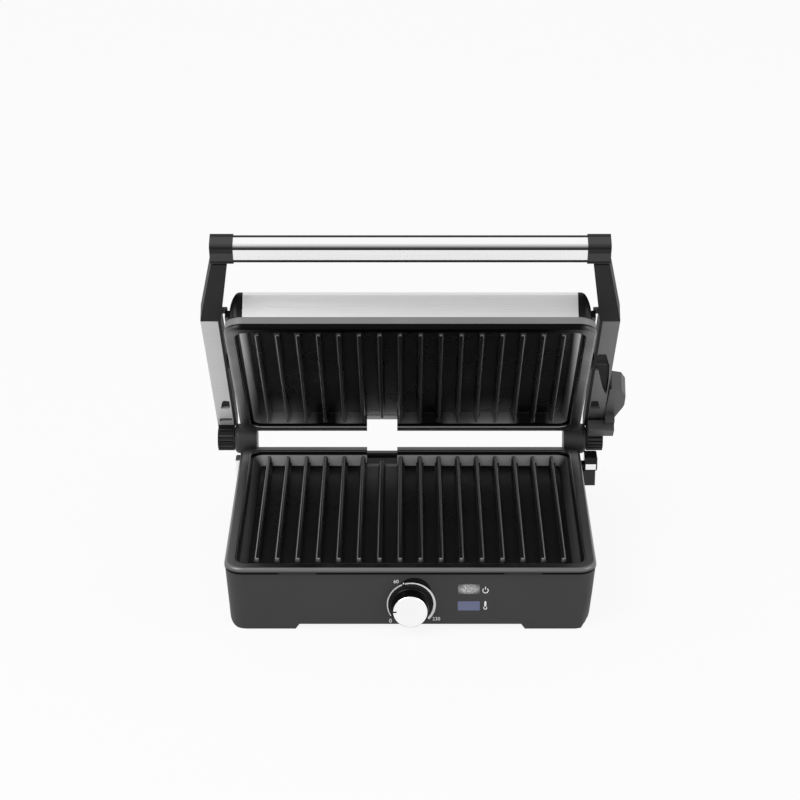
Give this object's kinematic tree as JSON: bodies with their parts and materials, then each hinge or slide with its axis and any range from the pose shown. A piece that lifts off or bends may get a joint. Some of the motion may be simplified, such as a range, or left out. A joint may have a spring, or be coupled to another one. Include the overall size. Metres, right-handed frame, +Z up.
{
  "type": "contact grill",
  "caption": "Electric contact grill with a floating overhanging lid, a through handle bar, two removable ribbed plates, a control knob and a rear drip tray.",
  "frame": {"origin": "on the table, under the middle of the base", "axes": "+X to the object's right as a cook faces it, +Y to its hinge at the back, +Z up"},
  "size_m": [0.3553, 0.2742, 0.3125],
  "materials": {
    "housing_plastic": "fine matte moulding",
    "black_plastic": "satin black moulding",
    "lever_plastic": "satin dark grey moulding",
    "frame_plastic": "satin grey moulding",
    "connector_plastic": "plain moulding",
    "foot_rubber": "soft matte",
    "screw_steel": "zinc plated",
    "nonstick_coating": "dark non-stick coating on cast aluminium",
    "pan_sheet": "pressed aluminium sheet",
    "heater_tube": "oxidised steel tube",
    "stainless_sheet": "brushed along the width",
    "polished_bar": "polished",
    "satin_cover": "satin silver grey",
    "bright_trim": "bright plated",
    "window_clear": "smoked window",
    "window_blue": "blue window",
    "lamp_glass": "clear lamp",
    "board_green": "solder mask"
  },
  "bodies": {
    "base": {"lower_housing": "housing_plastic", "bottom_cover": "housing_plastic", "foot_pads": "foot_rubber", "bottom_screws": "screw_steel", "lower_plate": "nonstick_coating", "lower_reflector": "pan_sheet", "lower_heating_element": "heater_tube", "lower_element_clips": "pan_sheet", "lower_thermal_fuse": "pan_sheet", "thermostat": "black_plastic", "thermostat_nut": "screw_steel", "dial_plate": "black_plastic", "power_window": "window_clear", "ready_window": "window_blue", "indicator_board": "board_green", "indicator_lamps": "lamp_glass", "terminal_block": "connector_plastic", "cord_gland": "foot_rubber", "hinge_pins": "screw_steel", "left_latch_trim": "bright_trim"},
    "handle": {"left_arm": "black_plastic", "right_arm": "black_plastic", "left_arm_cover": "satin_cover", "right_arm_cover": "satin_cover", "handle_bar": "polished_bar", "hinge_end_discs": "black_plastic", "stop_pegs": "black_plastic", "lid_pivot_pins": "screw_steel", "lever_pin": "screw_steel"},
    "lid": {"upper_plate": "nonstick_coating", "upper_frame": "frame_plastic", "upper_cover": "stainless_sheet", "left_end_cap": "black_plastic", "right_end_cap": "black_plastic", "upper_reflector": "pan_sheet", "upper_heating_element": "heater_tube", "upper_element_clips": "pan_sheet", "upper_thermal_fuse": "pan_sheet"},
    "release_lever": {"release_lever": "lever_plastic"},
    "temperature_knob": {"knob": "black_plastic", "knob_face": "bright_trim", "thermostat_shaft": "screw_steel"},
    "plate_release_button": {"release_button": "black_plastic", "release_button_trim": "bright_trim"},
    "drip_tray": {"grease_tray": "housing_plastic"}
  },
  "joints": [
    {"name": "handle_hinge", "type": "hinge", "parent": "base", "child": "handle", "pos_m": [0, 0.1174, 0.057], "axis": [-1, 0, 0], "range_deg": [-44.5, 135.5]},
    {"name": "lid_tilt", "type": "hinge", "parent": "handle", "child": "lid", "pos_m": [0, 0.03656, 0.16449], "axis": [1, 0, 0], "range_deg": [0, 6]},
    {"name": "lever_pivot", "type": "hinge", "parent": "handle", "child": "release_lever", "pos_m": [0.1775, 0.09512, 0.09853], "axis": [-1, 0, 0], "range_deg": [0, 10], "stiffness_Nm_per_rad": 0.3, "springref_deg": -20.05},
    {"name": "knob_turn", "type": "hinge", "parent": "base", "child": "temperature_knob", "pos_m": [0, -0.1285, 0.0228], "axis": [0, 1, 0], "range_deg": [-42, 221.5]},
    {"name": "button_press", "type": "slide", "parent": "base", "child": "plate_release_button", "axis": [-1, 0, 0], "range_m": [0, 0.0045], "stiffness_N_per_m": 600, "springref_m": -0.003},
    {"name": "tray_slide", "type": "slide", "parent": "base", "child": "drip_tray", "axis": [0, -1, 0], "range_m": [-0.06, 0]}
  ]
}
